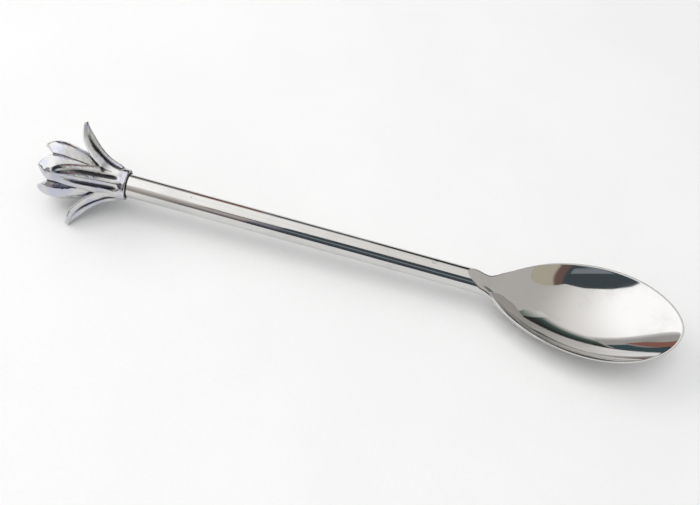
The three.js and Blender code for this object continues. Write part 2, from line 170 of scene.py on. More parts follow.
class TeaspoonStage(bpy.types.PropertyGroup):
    """Floor, lamps and reflection cards"""

    floor: colour("Floor", "Pale matt table", (0.9, 0.9, 0.89))
    room: colour("Room", "Soft light from all round", (0.97, 0.98, 1.0))
    room_strength: share("Room strength", "Of the soft light from all round", 0.52)
    window_power: power("Window power", "Lamp on the flower's side", 3.4)
    ceiling_power: power("Ceiling power", "Lamp above the spoon", 5.1)
    ceiling: colour("Ceiling", "Reflected from above", (0.66, 0.65, 0.635))
    bright_side: colour("Bright side", "Reflected on the flower's side", (0.9, 0.9, 0.9))
    grey_side: colour("Grey side", "Reflected on the bowl's side", (0.36, 0.35, 0.335))
    glow: share("Glow", "Strength of the reflected studio", 1.63)
    card_glow: share("Card glow", "Strength of the reflection cards", 1.21)
    near_card: colour("Near card", "Slate card at the camera's place", (0.05, 0.066, 0.075))
    near_strip: colour("Near strip", "Paler strip across it", (0.2, 0.225, 0.245))
    near_card_warm: colour("Near card warm", "Its brown part on the bowl's side", (0.15, 0.095, 0.085))
    near_card_end: colour("Near card end", "Its beige end", (0.44, 0.41, 0.33))
    low_card: colour("Low card", "Navy foot of the card behind the camera", (0.03, 0.034, 0.055))
    low_card_plum: colour("Low card plum", "Its plum part above the foot", (0.085, 0.07, 0.09))
    low_card_grey: colour("Low card grey", "Its blue-grey part", (0.2, 0.215, 0.245))
    low_card_top: colour("Low card top", "Its brown top", (0.16, 0.115, 0.105))
    plum_card: colour("Plum card", "Foot of the paler card beside it", (0.15, 0.13, 0.13))
    plum_card_grey: colour("Plum card grey", "Its middle", (0.4, 0.37, 0.36))
    beige_card: colour("Beige card", "Foot of the card on the flower's side", (0.33, 0.3, 0.275))
    beige_card_top: colour("Beige card top", "Its paler top", (0.76, 0.73, 0.69))
    tall_card: colour("Tall card", "Green card behind the bowl", (0.045, 0.075, 0.062))
    side_card: colour("Side card", "Grey-green card beside it", (0.14, 0.17, 0.15))
    dark_card: colour("Dark card", "Dark cards low round the stage", (0.03, 0.028, 0.03))
    red_card: colour("Red card", "Small red-brown card behind the bowl", (0.25, 0.11, 0.09))
    teal_card: colour("Teal card", "Small teal card beside it", (0.045, 0.075, 0.085))


# Curves shared by the pieces

def smooth(value, low, high):
    """Soft step from 0 at low to 1 at high."""
    part = np.clip((value - low) / (high - low), 0, 1)
    return part * part * (3 - 2 * part)


def soft_max(a, b):
    """Larger of two lengths, with a soft change from one to the other."""
    return (a ** 4 + b ** 4) ** 0.25


def hump(part, rise, fall):
    """Rise and fall over a share from 0 to 1, with its peak scaled to 1."""
    top = rise / (rise + fall)
    return part ** rise * (1 - part) ** fall / (top ** rise * (1 - top) ** fall)


def hermite(x, start, end):
    """Cubic between two stations, each (x, height, slope)."""
    span = end[0] - start[0]
    t = (x - start[0]) / span
    near = 2 * t ** 3 - 3 * t ** 2 + 1
    bend = (t ** 3 - 2 * t ** 2 + t) * start[2] + (t ** 3 - t ** 2) * end[2]
    return near * start[1] + (1 - near) * end[1] + bend * span


def bezier(t, a, b, c, d):
    """Cubic curve between a and d, led by b and c."""
    return (1 - t) ** 3 * a + 3 * (1 - t) ** 2 * t * b + 3 * (1 - t) * t ** 2 * c + t ** 3 * d


def eased(knots, place):
    """Smooth value through knots (place, value), level at each knot."""
    value = knots[0][1]
    for low, high in zip(knots, knots[1:]):
        value = value + (high[1] - low[1]) * smooth(place, low[0], high[0])
    return value


def spline(knots, place):
    """Smooth curve through knots (place, value), with the slope at each knot taken from its neighbours."""
    places = np.array([knot[0] for knot in knots])
    values = np.array([knot[1] for knot in knots])
    slopes = np.gradient(values, places)
    place = np.clip(place, places[0], places[-1])
    low = np.clip(np.searchsorted(places, place, side="right") - 1, 0, len(knots) - 2)
    start = (places[low], values[low], slopes[low])
    end = (places[low + 1], values[low + 1], slopes[low + 1])
    return hermite(place, start, end)


# Meshes

def xyz(x, y, z):
    """Points from their coordinates."""
    return np.stack(np.broadcast_arrays(x, y, z), axis=-1)


def mirrored(grid):
    """Points on the other side of the spoon."""
    return grid * np.array([1, -1, 1])


class Skin:
    """Sheets of points that become one mesh. Each point has a mark: painted shade, drawn bar or place on a
    card.
    """

    def __init__(self):
        self.points = []
        self.faces = []
        self.marks = []

    def sheet(self, grid, mark=None, closed=False):
        """Adds a grid of points, as rows, columns and coordinates, with one quad between each four."""
        rows, columns, _ = grid.shape
        start = len(self.points)
        self.points.extend(grid.reshape(-1, 3).tolist())
        self.marks.extend(np.zeros(rows * columns) if mark is None else np.asarray(mark, float).ravel())
        for i in range(rows - 1):
            for j in range(columns if closed else columns - 1):
                k = (j + 1) % columns
                low = start + i * columns
                self.faces.append((low + j, low + k, low + columns + k, low + columns + j))

    def mesh(self, name, placing, weld=1e-8):
        """Mesh with welded seams and faces turned outwards, moved from its own axes to the frame."""
        mesh = bpy.data.meshes.new(name)
        mesh.from_pydata([placing @ Vector(point) for point in self.points], [], self.faces)
        marks = mesh.attributes.new("shade", "FLOAT", "POINT")
        marks.data.foreach_set("value", np.array(self.marks, np.float32))
        work = bmesh.new()
        work.from_mesh(mesh)
        bmesh.ops.remove_doubles(work, verts=work.verts, dist=weld)
        bmesh.ops.dissolve_degenerate(work, edges=work.edges, dist=weld)
        bmesh.ops.recalc_face_normals(work, faces=work.faces)
        work.to_mesh(mesh)
        work.free()
        mesh.shade_smooth()
        return mesh


def bar_placing(context):
    """Move from the bar's own axes, with x from the collar's root, to the frame."""
    sizes = context.scene.teaspoon_bowl
    lean = Matrix.Rotation(sizes.rest_lean, 4, "Y")
    middle = (sizes.bar_length - context.scene.teaspoon_flower.socket_depth) / 2
    return Matrix.Translation((rod_low + rod_high) / 2) @ lean @ Matrix.Translation((-middle, 0, 0))


def flower_placing(context):
    """Move from the flower's own axes, which are the bar's but for the flower's turn, to the frame."""
    return bar_placing(context) @ Matrix.Rotation(context.scene.teaspoon_flower.flower_turn, 4, "Z")


def put_object(name, data):
    """Object in the scene, for a mesh, a lamp or a camera."""
    thing = bpy.data.objects.new(name, data)
    bpy.context.scene.collection.objects.link(thing)
    return thing


def put_piece(name, mesh, material, node):
    """Object for a mesh, in place of a node of the frame."""
    mesh.materials.append(material)
    piece = put_object(name, mesh)
    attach(piece, "root")
    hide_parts(node)
    return piece


def round_over(piece, levels=2):
    """Subdivision surface that rounds a cast piece's edges."""
    soften = piece.modifiers.new("Cast rounding", "SUBSURF")
    soften.levels = levels
    soften.render_levels = levels


# Bowl

class BowlForm:
    """Curves of the bowl in the bar's own axes: x from the collar's root, y across, z above the axis."""

    # Powers of the humps that shape the plan and the depth
    plan_rise = 0.763
    plan_fall = 0.568
    depth_rise = 1.3
    depth_fall = 1.1
    belly_share = 0.6
    # Where the scoop runs out on the bar, the hollow is wider and flatter until it settles
    run_out_width = 0.0005
    run_out_depth = 0.06
    settle_start = 0.0015
    settle_end = 0.0045
    halvings = 50

    def __init__(self, sizes):
        self.sizes = sizes
        self.bar = sizes.bar_diameter / 2
        self.joint = sizes.bar_length
        self.scoop = self.joint + sizes.shank
        self.start = self.scoop + sizes.neck
        self.tip = self.start + sizes.bowl_length
        self.low = self.scoop + sizes.scoop
        self.hollow_tip = self.tip - sizes.lip
        self.belly = self.scoop + self.belly_share * (self.tip - self.scoop)

    def half_width(self, x):
        """Half width of the outside: the bar's, and then the bowl's."""
        part = np.clip((x - self.start) / self.sizes.bowl_length, 0, 1)
        plan = self.sizes.bowl_width / 2 * hump(part, self.plan_rise, self.plan_fall)
        return soft_max(self.bar * (1 - part ** 2), plan)

    def edge(self, x):
        """Height of the scoop's edge, and then of the rim."""
        sizes = self.sizes
        start = (self.scoop, self.bar, sizes.scoop_slope)
        low = (self.low, -sizes.edge_dip, 0)
        tip = (self.tip, sizes.tip_lift, sizes.tip_slope)
        return np.where(x < self.low, hermite(x, start, low), hermite(x, low, tip))

    def widest(self, x):
        """Height of a section's widest line: the bar's axis, and then the rim."""
        dip = -self.sizes.edge_dip * smooth(x, self.scoop, self.low)
        return np.where(x < self.low, dip, self.edge(x))

    def fall(self, x, end):
        """Share of the full depth, from the scoop's start to an end."""
        part = np.clip((x - self.scoop) / (end - self.scoop), 0, 1)
        return hump(part, self.depth_rise, self.depth_fall)

    def outer_depth(self, x):
        """Depth of the outside below the widest line."""
        part = np.clip((x - self.scoop) / (self.tip - self.scoop), 0, 1)
        to_neck = 1 - smooth(x, self.scoop, self.start + self.sizes.bowl_length / 2)
        depth = self.sizes.bowl_depth + self.sizes.bowl_wall + self.sizes.neck_wall * to_neck
        fall = depth * self.fall(x, self.tip) - (self.edge(x) - self.widest(x))
        return soft_max(self.bar * (1 - part ** 2), np.maximum(0, fall))

    def arcs(self, x):
        """Radius and half angle of the arcs above and below the widest line."""
        half = np.maximum(self.half_width(x), least_size)
        above = np.minimum(self.bar, half)
        below = np.maximum(self.outer_depth(x), least_size)
        turn_above = 2 * np.arctan2(above, half)
        turn_below = 2 * np.arctan2(below, half)
        return half / np.sin(turn_above), turn_above, half / np.sin(turn_below), turn_below

    def half_round(self, x):
        """Length round a section from its top to its bottom."""
        radius_above, turn_above, radius_below, turn_below = self.arcs(x)
        return radius_above * turn_above + radius_below * turn_below

    def round_point(self, x, along):
        """Place across and height of the outer section, at a length along it from its top."""
        radius_above, turn_above, radius_below, turn_below = self.arcs(x)
        length_above = radius_above * turn_above
        upper = along < length_above
        beta = along / radius_above
        alpha = turn_below - (along - length_above) / radius_below
        widest = self.widest(x)
        high = widest + radius_above * (np.cos(beta) - np.cos(turn_above))
        low = widest - radius_below * (np.cos(alpha) - np.cos(turn_below))
        across = np.where(upper, radius_above * np.sin(beta), radius_below * np.sin(alpha))
        return across, np.where(upper, high, low)

    def outer_height(self, x, y):
        """Height of the outside below the rim, over a place in plan."""
        _, _, radius, turn = self.arcs(x)
        alpha = np.arcsin(np.clip(y / radius, -1, 1))
        return self.widest(x) - radius * (np.cos(alpha) - np.cos(turn))

    def hollow_half(self, x):
        """Half width of the hollow: wider than the neck where the scoop runs out on the bar."""
        sizes = self.sizes
        stretch = sizes.bowl_length / (sizes.bowl_length - sizes.lip)
        inside_lip = 1 - 2 * sizes.lip / sizes.bowl_width
        plan = self.half_width(self.start + (x - self.start) * stretch) * inside_lip
        return plan + self.run_out_width * (1 - smooth(x, self.scoop, self.low))

    def hollow_radius(self, x):
        """Radius and depth of the hollow's arc, which is flatter where the scoop runs out on the bar."""
        half = np.maximum(self.hollow_half(x), least_size)
        settling = smooth(x, self.scoop + self.settle_start, self.low + self.settle_end)
        settled = self.run_out_depth + (1 - self.run_out_depth) * settling
        depth = np.maximum(self.sizes.bowl_depth * self.fall(x, self.hollow_tip) * settled, least_size)
        return half / np.sin(2 * np.arctan2(depth, half)), depth

    def hollow_height(self, x, y):
        """Height of the hollow over a place in plan."""
        radius, depth = self.hollow_radius(x)
        inside = np.sqrt(np.maximum(radius ** 2 - y ** 2, 0))
        return self.edge(x) - depth + y ** 2 / (radius + inside)

    def edge_length(self, x):
        """Length from a section's top to where the cut and the hollow leave it."""
        low = np.zeros_like(x)
        high = self.half_round(x)
        for _ in range(self.halvings):
            middle = (low + high) / 2
            across, height = self.round_point(x, middle)
            in_hollow = (across < self.hollow_half(x)) & (height > self.hollow_height(x, across))
            removed = (height > self.edge(x)) | in_hollow
            low = np.where(removed, middle, low)
            high = np.where(removed, high, middle)
        return (low + high) / 2


def joined(side, fan):
    """Rows of a side with the rays of its fan, whose first ray is the side's last row."""
    return np.concatenate([side, fan[1:]])


class BowlMesh:
    """Fine mesh of the bowl: rows from the bar to the belly, then rays from the belly round the tip."""

    columns = 56
    shank_rows = 7
    scoop_rows = 120
    scoop_crowding = 1.7
    rays = 72
    lip_columns = 15
    # Rounding of the rim's corners: its share at the scoop's start, and its most beside the hollow
    crisp_share = 0.2
    most_inset = 0.35
    # Rounding along the neck: where it starts, is full and has faded, and how soft it is
    neck_start = 0.0005
    neck_full = 0.004
    neck_fade = 0.009
    neck_softness = 0.45
    flat_softness = 0.2
    sharp_angle = math.radians(18)

    def __init__(self, sizes):
        self.form = BowlForm(sizes)
        self.sizes = sizes
        form = self.form
        crowded = np.linspace(0, 1, self.scoop_rows) ** self.scoop_crowding
        self.shank = np.linspace(form.joint, form.scoop, self.shank_rows)[:-1]
        self.rows = form.scoop + (form.belly - form.scoop) * crowded
        self.swing = np.sin(np.linspace(0, math.pi / 2, self.rays))

    def cut_length(self, x):
        """Length from a section's top to its edge: none before the scoop."""
        return np.where(x > self.form.scoop, self.form.edge_length(x), 0)

    def outer_side(self, x):
        """Half sections of the outside, from the edge to the bottom."""
        form = self.form
        edge = self.cut_length(x)
        total = form.half_round(x)
        share_down = np.linspace(0, 1, self.columns)[None, :]
        along = (edge + self.inset(x))[:, None] * (1 - share_down) + total[:, None] * share_down
        across, height = form.round_point(x[:, None], along)
        corner = xyz(x, *form.round_point(x, edge))
        return xyz(x[:, None], across, height), corner

    def hollow_start(self, x):
        """Half width at which the hollow starts: its own, or the crease where it runs out on the bar."""
        across, _ = self.form.round_point(x, self.cut_length(x))
        return np.minimum(self.form.hollow_half(x), across)

    def inset(self, x):
        """Rounding of the rim's corners: crisp where the scoop starts and wide along the neck."""
        widened = self.crisp_share + (1 - self.crisp_share) * smooth(x, self.form.scoop, self.form.low)
        rounding = self.sizes.lip_rounding * widened + self.sizes.neck_rounding * self.at_neck(x)
        return np.minimum(rounding, self.most_inset * self.hollow_start(x))

    def at_neck(self, x):
        """Share of the neck's rounding: rises after the scoop's start and fades along the bowl."""
        form = self.form
        risen = smooth(x, form.scoop + self.neck_start, form.scoop + self.neck_full)
        return risen * (1 - smooth(x, form.low, form.low + self.neck_fade))

    def hollow_side(self, x):
        """Half sections of the hollow, from the lip to the middle."""
        form = self.form
        radius, _ = form.hollow_radius(x)
        half = self.hollow_start(x)
        turn = np.arcsin(np.clip(half / radius, 0, 1))
        inner = turn - self.inset(x) / radius
        share_in = np.linspace(1, 0, self.columns)[None, :]
        across = radius[:, None] * np.sin(inner[:, None] * share_in)
        height = form.hollow_height(x[:, None], across)
        corner = xyz(x, half, form.hollow_height(x, half))
        return xyz(x[:, None], across, height), corner

    def fan(self, side, half_width, height, tip):
        """Rays from the belly's middle to the rim, from the last row of a side round to the tip."""
        form = self.form
        centre = form.belly
        x = centre + (tip - centre) * self.swing
        y = half_width(np.minimum(x, tip - same_place))
        y[-1] = 0
        spread = side[-1, :, 1] / half_width(np.array([centre]))[0]
        plan_x = centre + (x - centre)[:, None] * spread
        plan_y = y[:, None] * spread
        grid = xyz(plan_x, plan_y, height(plan_x, plan_y))
        grid[0] = side[-1]
        return grid, xyz(x, y, form.edge(x))

    def worn(self, grid):
        """Outside with the small worn flat under the belly, level as the spoon lies."""
        form = self.form
        slope = math.tan(self.sizes.rest_lean)
        x = np.linspace(form.low, form.tip, 400)[:-1]
        flat = np.min(form.widest(x) - form.outer_depth(x) - slope * x) + self.sizes.rest_flat
        gap = grid[..., 2] - slope * grid[..., 0] - flat
        softness = self.flat_softness * self.sizes.rest_flat
        grid[..., 2] += (np.sqrt(gap ** 2 + softness ** 2) - gap) / 2
        return grid

    def lip(self, outer, outer_corner, hollow_corner, hollow):
        """Rim's top between the outside and the hollow, led by their corners and softer along the neck."""
        at_neck = np.concatenate([self.at_neck(self.rows), np.zeros(self.rays - 1)])
        softer = self.neck_softness * at_neck[:, None]
        lines = (
            outer,
            outer_corner + softer * (outer - outer_corner),
            hollow_corner + softer * (hollow - hollow_corner),
            hollow,
        )
        t = np.linspace(0, 1, self.lip_columns)[None, :, None]
        return bezier(t, *(line[:, None, :] for line in lines))

    def make(self, name, placing):
        """Mesh of both halves. Its marks say where the steel is still drawn bar."""
        form = self.form
        skin = Skin()
        shank, _ = self.outer_side(self.shank)
        outer, outer_corner = self.outer_side(self.rows)
        hollow, hollow_corner = self.hollow_side(self.rows)
        outer_fan, outer_rim = self.fan(outer, form.half_width, form.outer_height, form.tip)
        hollow_fan, hollow_rim = self.fan(hollow, form.hollow_half, form.hollow_height, form.hollow_tip)
        outside = joined(outer, outer_fan)
        inside = joined(hollow, hollow_fan)
        outer_corner = joined(outer_corner, outer_rim)
        hollow_corner = joined(hollow_corner, hollow_rim)
        lip = self.lip(outside[:, 0], outer_corner, hollow_corner, inside[:, 0])
        cap = np.stack([shank[0], np.broadcast_to([form.joint, 0, 0], shank[0].shape)])
        outside = self.worn(np.concatenate([shank, outside]))
        for grid in (outside, inside, lip, cap):
            drawn = 1 - smooth(grid[..., 0], form.joint, form.scoop)
            skin.sheet(grid, drawn)
            skin.sheet(mirrored(grid), drawn)
        mesh = skin.mesh(name, placing)
        mesh.set_sharp_from_angle(angle=self.sharp_angle)
        return mesh


class TEASPOON_OT_bowl(bpy.types.Operator):
    """Make the bowl with its neck and shank"""

    bl_idname = "teaspoon.bowl"
    bl_label = "Bowl"

    def execute(self, context):
        mesh = BowlMesh(context.scene.teaspoon_bowl).make("polished_bowl", bar_placing(context))
        put_piece("polished_bowl", mesh, polished_steel(context), "bowl")
        return {"FINISHED"}


# Handle rod

def rod_mesh(context, name):
    """Round bar with a chamfer at its end in the calyx."""
    sizes = context.scene.teaspoon_bowl
    rings = 90
    sides = 128
    sharp_angle = math.radians(30)
    radius = sizes.bar_diameter / 2
    chamfer = sizes.bar_chamfer
    start = -context.scene.teaspoon_flower.socket_depth
    profile = [(start, 0), (start, radius - chamfer)]
    profile += [(x, radius) for x in np.linspace(start + chamfer, sizes.bar_length, rings)]
    profile += [(sizes.bar_length, 0)]
    turn = np.linspace(0, 2 * math.pi, sides, endpoint=False)
    grid = np.array([xyz(x, r * np.cos(turn), r * np.sin(turn)) for x, r in profile])
    skin = Skin()
    skin.sheet(grid, np.ones(grid.shape[:2]), closed=True)
    mesh = skin.mesh(name, bar_placing(context))
    mesh.set_sharp_from_angle(angle=sharp_angle)
    return mesh


class TEASPOON_OT_handle_rod(bpy.types.Operator):
    """Make the round bar of the handle"""

    bl_idname = "teaspoon.handle_rod"
    bl_label = "Handle rod"

    def execute(self, context):
        mesh = rod_mesh(context, "polished_rod")
        put_piece("polished_rod", mesh, polished_steel(context), "handle_rod")
        return {"FINISHED"}


# Flower

def flower_place(out, along, across, turn):
    """Point of the flower: out from the collar towards the mouth, along and across a leaf at a turn."""
    c, s = np.cos(turn), np.sin(turn)
    return xyz(-out, along * c - across * s, along * s + across * c)


class SepalForm:
    """Curves of one sepal: t from the collar to the tip, v from edge to edge."""

    notch = 0.34
    # Shares of the reach and the flare at which the keel's curve is led
    keel_shares = ((0, 0), (0.42, 0.09), (0.74, 0.42), (1, 1))
    # Powers of the taper from the notch to the tip
    taper_start = 1.35
    taper_end = 0.6
    # How far the flutes close in, and the wall thins, towards the tip and the edges
    flute_closing = 0.7
    tip_thinning = 0.4
    edge_thinning = 0.3

    def __init__(self, sizes):
        self.sizes = sizes
        self.half_sector = math.pi / sizes.sepals
        self.fall_knots = [
            (0, sizes.collar_radius * (1 - math.cos(self.half_sector))),
            (self.notch, sizes.sepal_cup),
            (0.78, 0.85 * sizes.sepal_cup),
            (1, 0.6 * sizes.sepal_tip),
        ]
        flare = sizes.sepal_spread - sizes.collar_radius
        leads = np.array(self.keel_shares) * np.array([sizes.sepal_reach, flare])
        self.keel = leads + np.array([0, sizes.collar_radius])

    def beside_keel(self, t, height):
        """Place out and along, at a height off the keel."""
        a, b, c, d = self.keel
        t = np.asarray(t, float)[..., None]
        place = bezier(t, a, b, c, d)
        run = (1 - t) ** 2 * (b - a) + 2 * (1 - t) * t * (c - b) + t ** 2 * (d - c)
        run = run / np.linalg.norm(run, axis=-1, keepdims=True)
        return place[..., 0] - run[..., 1] * height, place[..., 1] + run[..., 0] * height

    def half_width(self, t):
        """Half width of a sepal, which fills its sector up to the notch."""
        filled = np.minimum(t, self.notch)
        _, along = self.beside_keel(filled, -eased(self.fall_knots, filled))
        part = np.clip((t - self.notch) / (1 - self.notch), 0, 1)
        keep = (1 - part ** self.taper_start) ** self.taper_end
        tip = self.sizes.sepal_tip / 2
        return tip + (along * math.tan(self.half_sector) - tip) * keep

    def across(self, t, v):
        """Distance from the keel, square to it."""
        return self.half_width(t) * np.sin(v * self.half_sector) / math.sin(self.half_sector)

    def relief(self, t, v):
        """Midrib and flutes, fading out at the collar and the tip."""
        sizes = self.sizes
        fade = smooth(t, 0.02, 0.12) * (1 - smooth(t, 0.8, 1))
        across = np.abs(self.across(t, v))
        flute = sizes.flute_place * (1 - self.flute_closing * smooth(t, 0.6, 1))
        rib = sizes.rib_height * np.exp(-(across / sizes.rib_width) ** 2)
        flutes = sizes.flute_depth * np.exp(-((across - flute) / sizes.flute_width) ** 2)
        return fade * (rib - flutes)

    def flute_shade(self, t, v):
        """Painted shade in the flutes, as deep as they are."""
        return np.clip(-self.relief(t, v) / self.sizes.flute_depth, 0, 1)

    def face(self, t, v, height):
        """Point of the outer face as (out, along, across)."""
        sector = self.half_sector
        fall = (1 - np.cos(v * sector)) / (1 - math.cos(sector))
        out, along = self.beside_keel(t, height - eased(self.fall_knots, t) * fall)
        return xyz(out, along, self.across(t, v))

    def outer(self, t, v):
        """Outer face with its relief."""
        return self.face(t, v, self.relief(t, v))

    def inner(self, t, v):
        """Outer face without its relief, moved in by the wall, which thins to the edges and the tip."""
        step = 0.002
        sector = self.half_sector
        before = np.minimum(t, 1 - step)
        along = self.face(before + step, v, 0) - self.face(before, v, 0)
        across = self.face(t, v + step, 0) - self.face(t, v - step, 0)
        inward = np.cross(along, across)
        inward /= np.linalg.norm(inward, axis=-1, keepdims=True)
        at_notch = (np.abs(t - self.notch) < same_place) & (np.abs(np.abs(v) - 1) < same_place)
        lean = np.hypot(inward[..., 1], inward[..., 2])
        inward[..., 1] = np.where(at_notch, -lean * math.cos(sector), inward[..., 1])
        inward[..., 2] = np.where(at_notch, -lean * math.sin(sector) * np.sign(v), inward[..., 2])
        thinned = (1 - self.edge_thinning * v * v) * (1 - self.tip_thinning * smooth(t, 0.7, 1))
        return self.face(t, v, 0) + inward * (self.sizes.sepal_wall * thinned)[..., None]

    def placed(self, grid, turn):
        """Points of the flower, drawn further out on the pair of sepals in front and behind."""
        sizes = self.sizes
        out, along, across = grid[..., 0], grid[..., 1], grid[..., 2]
        to_pair = np.sin(turn + np.arctan2(across, along) - self.half_sector) ** 2
        drawn = sizes.long_pair * to_pair * smooth(out, sizes.sepal_reach / 2, sizes.sepal_reach)
        return flower_place(out + drawn, along, across, turn)


def collar_profile(context):
    """Turned part of the calyx, from its floor round to the collar, each (out, radius, mark of painted
    shade).
    """
    flower = context.scene.teaspoon_flower
    # Painted shade: light on the calyx's floor, full in the socket, strong at the collar's gap
    floor_shade = 0.3
    gap_shade = 0.8
    ease = flower.socket_ease
    depth = flower.socket_depth
    back = flower.collar_length
    socket = context.scene.teaspoon_bowl.bar_diameter / 2 + flower.socket_clearance
    seat = depth + flower.socket_floor
    return [
        (seat, flower.seat_radius, floor_shade),
        (seat, flower.stem_radius, floor_shade),
        (depth, flower.stem_radius, 1),
        (depth, socket - ease, 1),
        (depth - ease, socket, 1),
        (2 * ease - back, socket, 1),
        (-back, socket + ease, 1),
        (-back, flower.collar_radius - flower.collar_lip, gap_shade),
        (flower.collar_lip - back, flower.collar_radius, 0),
        (-back / 3, flower.collar_radius, 0),
    ]


def calyx_mesh(context, name):
    """Cage of the calyx: a turned base with its socket, and leaves from the notches to the tips."""
    flower = context.scene.teaspoon_flower
    form = SepalForm(flower)
    columns = 20
    base_rows = 9
    leaf_rows = 26
    shade_fade_to_tip = 0.55
    v = np.linspace(-1, 1, columns + 1)
    sweep = v * form.half_sector
    profile = collar_profile(context)
    turned = np.array([xyz(out, r * np.cos(sweep), r * np.sin(sweep)) for out, r, _ in profile])
    base_t = np.linspace(0, form.notch, base_rows)
    leaf_t = form.notch + (1 - form.notch) * np.sin(np.linspace(0, math.pi / 2, leaf_rows))
    base_grid = np.meshgrid(base_t, v, indexing="ij")
    leaf_grid = np.meshgrid(leaf_t, v, indexing="ij")
    outer = form.outer(*leaf_grid)
    inner = form.inner(*leaf_grid)
    base = np.concatenate([inner[:1], turned, form.outer(*base_grid)])
    # Painted shade in the flutes, fading towards the tips
    leaf_mark = form.flute_shade(*leaf_grid) * (1 - shade_fade_to_tip * smooth(leaf_t, 0.5, 0.85))[:, None]
    turned_mark = np.repeat([[profile[0][2]]] + [[mark] for _, _, mark in profile], columns + 1, axis=1)
    base_mark = np.concatenate([turned_mark, form.flute_shade(*base_grid)])
    skin = Skin()
    for turn in form.half_sector * (2 * np.arange(flower.sepals) + 1):
        skin.sheet(form.placed(base, turn), base_mark)
        skin.sheet(form.placed(outer, turn), leaf_mark)
        skin.sheet(form.placed(inner, turn))
        for rim in (np.s_[-1], np.s_[:, 0], np.s_[:, -1]):
            skin.sheet(form.placed(np.stack([outer[rim], inner[rim]]), turn))
    return skin.mesh(name, flower_placing(context), weld=2e-6)


class BlossomForm:
    """Curves of the blossom: height from its seat, v across a petal from groove to groove."""

    # Shares of the height and of the swell, from the seat to the belly and on to the mouth
    belly_shares = ((0, 0), (0.06, 0.12), (0.2, 0.41), (0.36, 0.67), (0.55, 0.89), (0.74, 1))
    mouth_shares = ((0.89, 0.75), (1, 0))
    # Shares of the height over which the grooves deepen, and the roundness of grooves and notches
    groove_start = 0.15
    groove_full = 0.6
    groove_power = 1.6
    notch_power = 1.25

    def __init__(self, sizes):
        self.sizes = sizes
        self.outline = []
        ends = ((self.belly_shares, sizes.seat_radius), (self.mouth_shares, sizes.mouth_radius))
        for shares, end in ends:
            swell = sizes.blossom_radius - end
            self.outline += [(h * sizes.blossom_length, end + s * swell) for h, s in shares]

    def radius(self, height, v):
        """Radius of the outside, less in the grooves between the petals."""
        full = self.sizes.blossom_length
        deepened = smooth(height, self.groove_start * full, self.groove_full * full)
        groove = self.sizes.petal_groove * deepened * np.abs(v) ** self.groove_power
        return spline(self.outline, height) - groove

    def edge(self, v):
        """Height of a petal's edge."""
        return self.sizes.blossom_length - self.sizes.petal_notch * np.abs(v) ** self.notch_power


def blossom_mesh(context, name):
    """Cage of the blossom: a stem, the petals' outside, their edges and the hollow, with painted shade in
    grooves and hollow.
    """
    flower = context.scene.teaspoon_flower
    form = BlossomForm(flower)
    per_petal = 16
    outer_rings = 26
    hollow_rings = 18
    hollow_power = 0.35
    shoulder = 0.0001
    # Painted shade in the grooves between the petals and deep in the hollow
    groove_shade = 0.75
    hollow_shade = 0.6
    count = per_petal * flower.petals
    v = np.tile(np.linspace(-1, 1, per_petal, endpoint=False), flower.petals)
    turn = flower.blossom_turn + 2 * math.pi * (np.arange(count) - per_petal / 2) / count
    seat = flower.socket_depth + flower.socket_floor + flower.seat_gap
    floor = flower.blossom_floor
    groove_mark = groove_shade * smooth(np.abs(v), 0.8, 1)
    rows = []
    marks = []

    def ring(height, radius, mark=0):
        rows.append(flower_place(seat + height + 0 * v, radius + 0 * v, 0, turn))
        marks.append(mark + 0 * v)

    ring(-flower.stem_length, 0)
    ring(-flower.stem_length, flower.stem_radius)
    ring(-shoulder, flower.stem_radius)
    for part in np.linspace(0, 1, outer_rings):
        height = form.edge(v) * part
        ring(height, form.radius(height, v), groove_mark * smooth(part, 0.1, 0.4))
    for lean in np.linspace(0, math.pi / 2, hollow_rings):
        height = form.edge(v) + (floor - form.edge(v)) * math.sin(lean)
        drawn_in = max(0, math.cos(lean)) ** hollow_power
        deep = smooth(math.sin(lean), 0.3, 1)
        mark = np.maximum(hollow_shade * deep, groove_mark * (1 - deep))
        ring(height, (form.radius(height, v) - flower.petal_wall) * drawn_in, mark)
    rows[-1] = np.broadcast_to(flower_place(seat + floor, 0, 0, 0), rows[-1].shape)
    skin = Skin()
    skin.sheet(np.array(rows), np.array(marks), closed=True)
    return skin.mesh(name, flower_placing(context))


class TEASPOON_OT_calyx(bpy.types.Operator):
    """Make the collar and its ribbed sepals"""

    bl_idname = "teaspoon.calyx"
    bl_label = "Calyx"

    def execute(self, context):
        mesh = calyx_mesh(context, "cast_calyx")
        piece = put_piece("cast_calyx", mesh, plated_casting(context), "calyx")
        round_over(piece)
        return {"FINISHED"}


class TEASPOON_OT_blossom(bpy.types.Operator):
    """Make the hollow blossom"""

    bl_idname = "teaspoon.blossom"
    bl_label = "Blossom"

    def execute(self, context):
        mesh = blossom_mesh(context, "cast_blossom")
        piece = put_piece("cast_blossom", mesh, plated_casting(context), "blossom")
        round_over(piece)
        return {"FINISHED"}


# Finishes

class Value:
    """Output socket of a node. Python's operators on it add Math nodes to its tree."""

    def __init__(self, finish, socket):
        self.finish = finish
        self.socket = socket

    def maths(self, operation, first, second):
        return self.finish.node("ShaderNodeMath", {"operation": operation}, {0: first, 1: second})

    def __add__(self, other):
        return self.maths("ADD", self, other)

    def __radd__(self, other):
        return self.maths("ADD", other, self)

    def __sub__(self, other):
        return self.maths("SUBTRACT", self, other)

    def __rsub__(self, other):
        return self.maths("SUBTRACT", other, self)

    def __mul__(self, other):
        return self.maths("MULTIPLY", self, other)

    def __rmul__(self, other):
        return self.maths("MULTIPLY", other, self)

    def __lt__(self, other):
        return self.maths("LESS_THAN", self, other)


